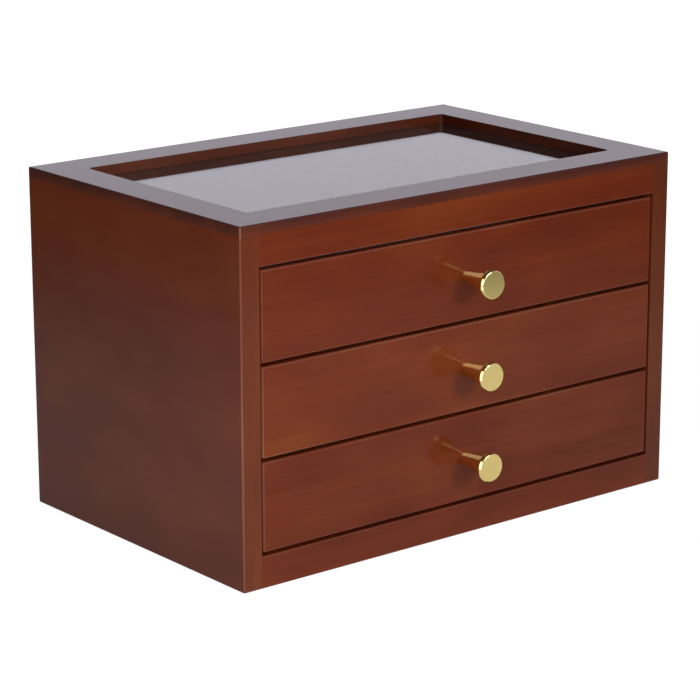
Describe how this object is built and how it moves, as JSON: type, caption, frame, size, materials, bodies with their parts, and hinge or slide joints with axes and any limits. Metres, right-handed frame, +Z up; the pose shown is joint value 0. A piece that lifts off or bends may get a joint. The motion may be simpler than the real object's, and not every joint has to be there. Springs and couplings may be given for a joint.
{
  "type": "jewellery box with drawers",
  "caption": "Wooden jewellery box: inset drawers with turned knobs slide out on side runners below a flat top with a recessed glass window.",
  "frame": {"origin": "on the plane that the pads rest on, under the middle of the whole object's box, knobs included", "axes": "+Z up, +X to the right seen from the drawers, drawers open towards -Y"},
  "size_m": [0.28, 0.2002, 0.1813],
  "materials": {
    "lacquered_wood": "reddish-brown stain under satin-gloss lacquer",
    "plain_wood": "stained, thin matt lacquer",
    "plywood": "stained plywood, matt",
    "clear_glass": "clear, polished",
    "polished_brass": "polished, light gold",
    "zinc_steel": "zinc plated",
    "flocked_card": "black flock on stiff card",
    "felt": "dense wool felt"
  },
  "bodies": {
    "case": {"side_panel_left": "lacquered_wood", "side_panel_right": "lacquered_wood", "front_rail_top": "lacquered_wood", "rail_dowel_top_left": "plain_wood", "rail_dowel_top_right": "plain_wood", "front_rail_bottom": "lacquered_wood", "rail_dowel_bottom_left": "plain_wood", "rail_dowel_bottom_right": "plain_wood", "back_panel": "lacquered_wood", "base_board": "plain_wood", "top_frame": "lacquered_wood", "glass_pane": "clear_glass", "glazing_bead_front": "plain_wood", "glazing_bead_back": "plain_wood", "glazing_bead_left": "plain_wood", "glazing_bead_right": "plain_wood", "runner_bottom_left": "plain_wood", "runner_bottom_right": "plain_wood", "runner_middle_left": "plain_wood", "runner_middle_right": "plain_wood", "runner_top_left": "plain_wood", "runner_top_right": "plain_wood", "foot_pad_front_left": "felt", "foot_pad_front_right": "felt", "foot_pad_back_left": "felt", "foot_pad_back_right": "felt"},
    "drawer_bottom": {"drawer_bottom_front": "lacquered_wood", "drawer_bottom_side_left": "plain_wood", "drawer_bottom_side_right": "plain_wood", "drawer_bottom_back": "plain_wood", "drawer_bottom_bottom": "plywood", "drawer_bottom_lining": "flocked_card", "drawer_bottom_knob": "polished_brass", "drawer_bottom_knob_screw": "zinc_steel"},
    "drawer_middle": {"drawer_middle_front": "lacquered_wood", "drawer_middle_side_left": "plain_wood", "drawer_middle_side_right": "plain_wood", "drawer_middle_back": "plain_wood", "drawer_middle_bottom": "plywood", "drawer_middle_lining": "flocked_card", "drawer_middle_knob": "polished_brass", "drawer_middle_knob_screw": "zinc_steel"},
    "drawer_top": {"drawer_top_front": "lacquered_wood", "drawer_top_side_left": "plain_wood", "drawer_top_side_right": "plain_wood", "drawer_top_back": "plain_wood", "drawer_top_bottom": "plywood", "drawer_top_lining": "flocked_card", "drawer_top_knob": "polished_brass", "drawer_top_knob_screw": "zinc_steel", "divider_long": "flocked_card", "divider_cross_left": "flocked_card", "divider_cross_right": "flocked_card"}
  },
  "joints": [
    {"name": "drawer_bottom_slide", "type": "slide", "parent": "case", "child": "drawer_bottom", "axis": [0, -1, 0], "range_m": [0, 0.12]},
    {"name": "drawer_middle_slide", "type": "slide", "parent": "case", "child": "drawer_middle", "axis": [0, -1, 0], "range_m": [0, 0.12]},
    {"name": "drawer_top_slide", "type": "slide", "parent": "case", "child": "drawer_top", "axis": [0, -1, 0], "range_m": [0, 0.12]}
  ]
}
